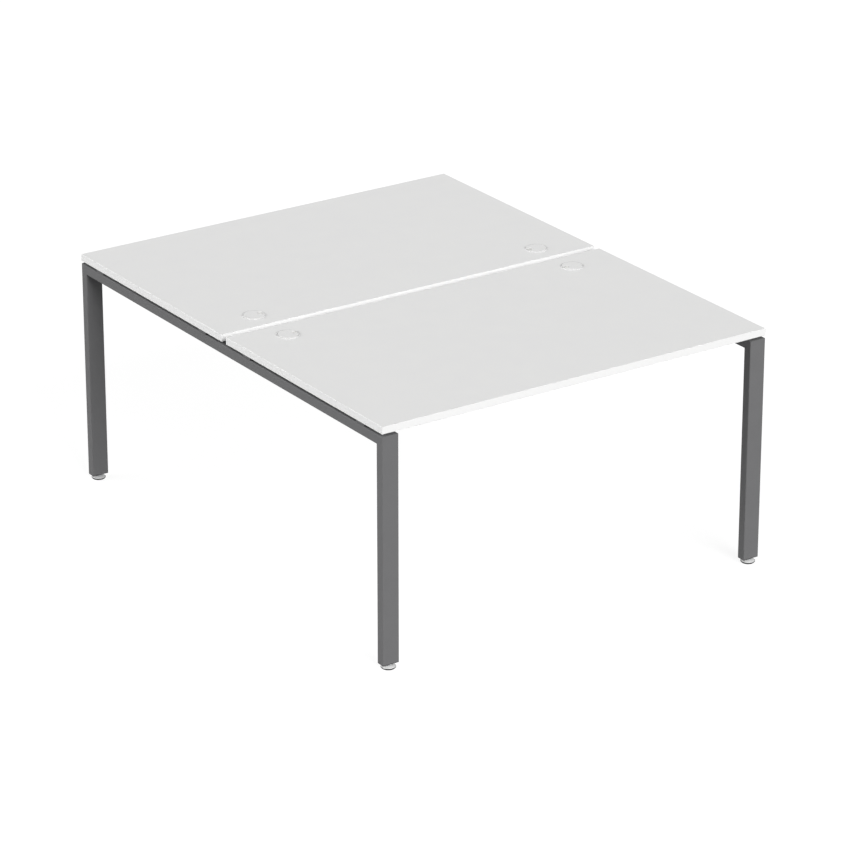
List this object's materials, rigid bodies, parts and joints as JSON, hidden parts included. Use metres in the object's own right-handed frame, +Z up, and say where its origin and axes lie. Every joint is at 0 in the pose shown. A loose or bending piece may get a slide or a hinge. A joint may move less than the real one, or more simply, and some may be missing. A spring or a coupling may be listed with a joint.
{
  "type": "two-place bench desk",
  "caption": "Face-to-face bench desk: white laminate worktops with cable grommets on dark grey welded goalpost end frames with levelling feet.",
  "frame": {"origin": "on the floor under the centre of the desk", "axes": "+X along the worktops to the right, +Y across both worktops to the rear, +Z up"},
  "size_m": [1.35, 1.689, 0.7525],
  "materials": {
    "laminate_white": "white melamine laminate on particle board, fine matt texture",
    "edge_band_white": "extruded white edge band, satin",
    "powder_coat_grey": "dark grey powder coat, satin",
    "spacer_grey": "moulded, dark grey",
    "grommet_white": "moulded, white, fine texture",
    "plug_grey": "moulded, near black",
    "foot_chrome": "polished chrome plate",
    "foot_steel": "bright zinc-plated turned steel",
    "foot_glide": "moulded nylon",
    "zinc_steel": "zinc plated"
  },
  "bodies": {
    "frame": {"crossbar_left": "powder_coat_grey", "crossbar_right": "powder_coat_grey", "front_desktop_panel": "laminate_white", "front_top_band_front": "edge_band_white", "front_top_band_left": "edge_band_white", "front_top_band_rear": "edge_band_white", "front_top_band_right": "edge_band_white", "grommet_ring_front_left": "grommet_white", "grommet_ring_front_right": "grommet_white", "grommet_ring_rear_left": "grommet_white", "grommet_ring_rear_right": "grommet_white", "leg_front_left": "powder_coat_grey", "leg_front_right": "powder_coat_grey", "leg_plug_front_left": "plug_grey", "leg_plug_front_right": "plug_grey", "leg_plug_nuts": "zinc_steel", "leg_plug_rear_left": "plug_grey", "leg_plug_rear_right": "plug_grey", "leg_rear_left": "powder_coat_grey", "leg_rear_right": "powder_coat_grey", "rail_bolts": "zinc_steel", "rail_end_plate_front_left": "powder_coat_grey", "rail_end_plate_front_right": "powder_coat_grey", "rail_end_plate_rear_left": "powder_coat_grey", "rail_end_plate_rear_right": "powder_coat_grey", "rail_front": "powder_coat_grey", "rail_rear": "powder_coat_grey", "rail_rivet_nuts": "zinc_steel", "rail_top_screws": "zinc_steel", "rear_desktop_panel": "laminate_white", "rear_top_band_front": "edge_band_white", "rear_top_band_left": "edge_band_white", "rear_top_band_rear": "edge_band_white", "rear_top_band_right": "edge_band_white", "spacer_left_front_inner": "spacer_grey", "spacer_left_front_outer": "spacer_grey", "spacer_left_rear_inner": "spacer_grey", "spacer_left_rear_outer": "spacer_grey", "spacer_right_front_inner": "spacer_grey", "spacer_right_front_outer": "spacer_grey", "spacer_right_rear_inner": "spacer_grey", "spacer_right_rear_outer": "spacer_grey", "spacer_screws": "zinc_steel"},
    "foot_front_left": {"foot_base_front_left": "foot_chrome", "foot_pad_front_left": "foot_glide"},
    "stud_front_left": {"foot_stud_front_left": "foot_steel"},
    "cap_front_left": {"grommet_cap_front_left": "grommet_white"},
    "foot_front_right": {"foot_base_front_right": "foot_chrome", "foot_pad_front_right": "foot_glide"},
    "stud_front_right": {"foot_stud_front_right": "foot_steel"},
    "cap_front_right": {"grommet_cap_front_right": "grommet_white"},
    "foot_rear_left": {"foot_base_rear_left": "foot_chrome", "foot_pad_rear_left": "foot_glide"},
    "stud_rear_left": {"foot_stud_rear_left": "foot_steel"},
    "cap_rear_left": {"grommet_cap_rear_left": "grommet_white"},
    "foot_rear_right": {"foot_base_rear_right": "foot_chrome", "foot_pad_rear_right": "foot_glide"},
    "stud_rear_right": {"foot_stud_rear_right": "foot_steel"},
    "cap_rear_right": {"grommet_cap_rear_right": "grommet_white"}
  },
  "joints": [
    {"name": "foot_front_left_height", "type": "slide", "parent": "frame", "child": "foot_front_left", "axis": [0, 0, -1], "range_m": [0, 0.015]},
    {"name": "foot_front_left_turn", "type": "hinge", "parent": "foot_front_left", "child": "stud_front_left", "pos_m": [-0.6475, -0.8225, 0.01], "axis": [0, 0, -1], "continuous": true},
    {"name": "cap_front_left_turn", "type": "hinge", "parent": "frame", "child": "cap_front_left", "pos_m": [-0.512, -0.0945, 0.751], "axis": [0, 0, 1], "continuous": true},
    {"name": "foot_front_right_height", "type": "slide", "parent": "frame", "child": "foot_front_right", "axis": [0, 0, -1], "range_m": [0, 0.015]},
    {"name": "foot_front_right_turn", "type": "hinge", "parent": "foot_front_right", "child": "stud_front_right", "pos_m": [0.6475, -0.8225, 0.01], "axis": [0, 0, -1], "continuous": true},
    {"name": "cap_front_right_turn", "type": "hinge", "parent": "frame", "child": "cap_front_right", "pos_m": [0.512, -0.0945, 0.751], "axis": [0, 0, 1], "continuous": true},
    {"name": "foot_rear_left_height", "type": "slide", "parent": "frame", "child": "foot_rear_left", "axis": [0, 0, -1], "range_m": [0, 0.015]},
    {"name": "foot_rear_left_turn", "type": "hinge", "parent": "foot_rear_left", "child": "stud_rear_left", "pos_m": [-0.6475, 0.8225, 0.01], "axis": [0, 0, -1], "continuous": true},
    {"name": "cap_rear_left_turn", "type": "hinge", "parent": "frame", "child": "cap_rear_left", "pos_m": [-0.512, 0.0945, 0.751], "axis": [0, 0, 1], "continuous": true},
    {"name": "foot_rear_right_height", "type": "slide", "parent": "frame", "child": "foot_rear_right", "axis": [0, 0, -1], "range_m": [0, 0.015]},
    {"name": "foot_rear_right_turn", "type": "hinge", "parent": "foot_rear_right", "child": "stud_rear_right", "pos_m": [0.6475, 0.8225, 0.01], "axis": [0, 0, -1], "continuous": true},
    {"name": "cap_rear_right_turn", "type": "hinge", "parent": "frame", "child": "cap_rear_right", "pos_m": [0.512, 0.0945, 0.751], "axis": [0, 0, 1], "continuous": true}
  ],
  "couplings": [
    {"joint": "foot_front_left_turn", "follows": "foot_front_left_height", "rad_per_m": 5026.5},
    {"joint": "foot_front_right_turn", "follows": "foot_front_right_height", "rad_per_m": 5026.5},
    {"joint": "foot_rear_left_turn", "follows": "foot_rear_left_height", "rad_per_m": 5026.5},
    {"joint": "foot_rear_right_turn", "follows": "foot_rear_right_height", "rad_per_m": 5026.5}
  ]
}
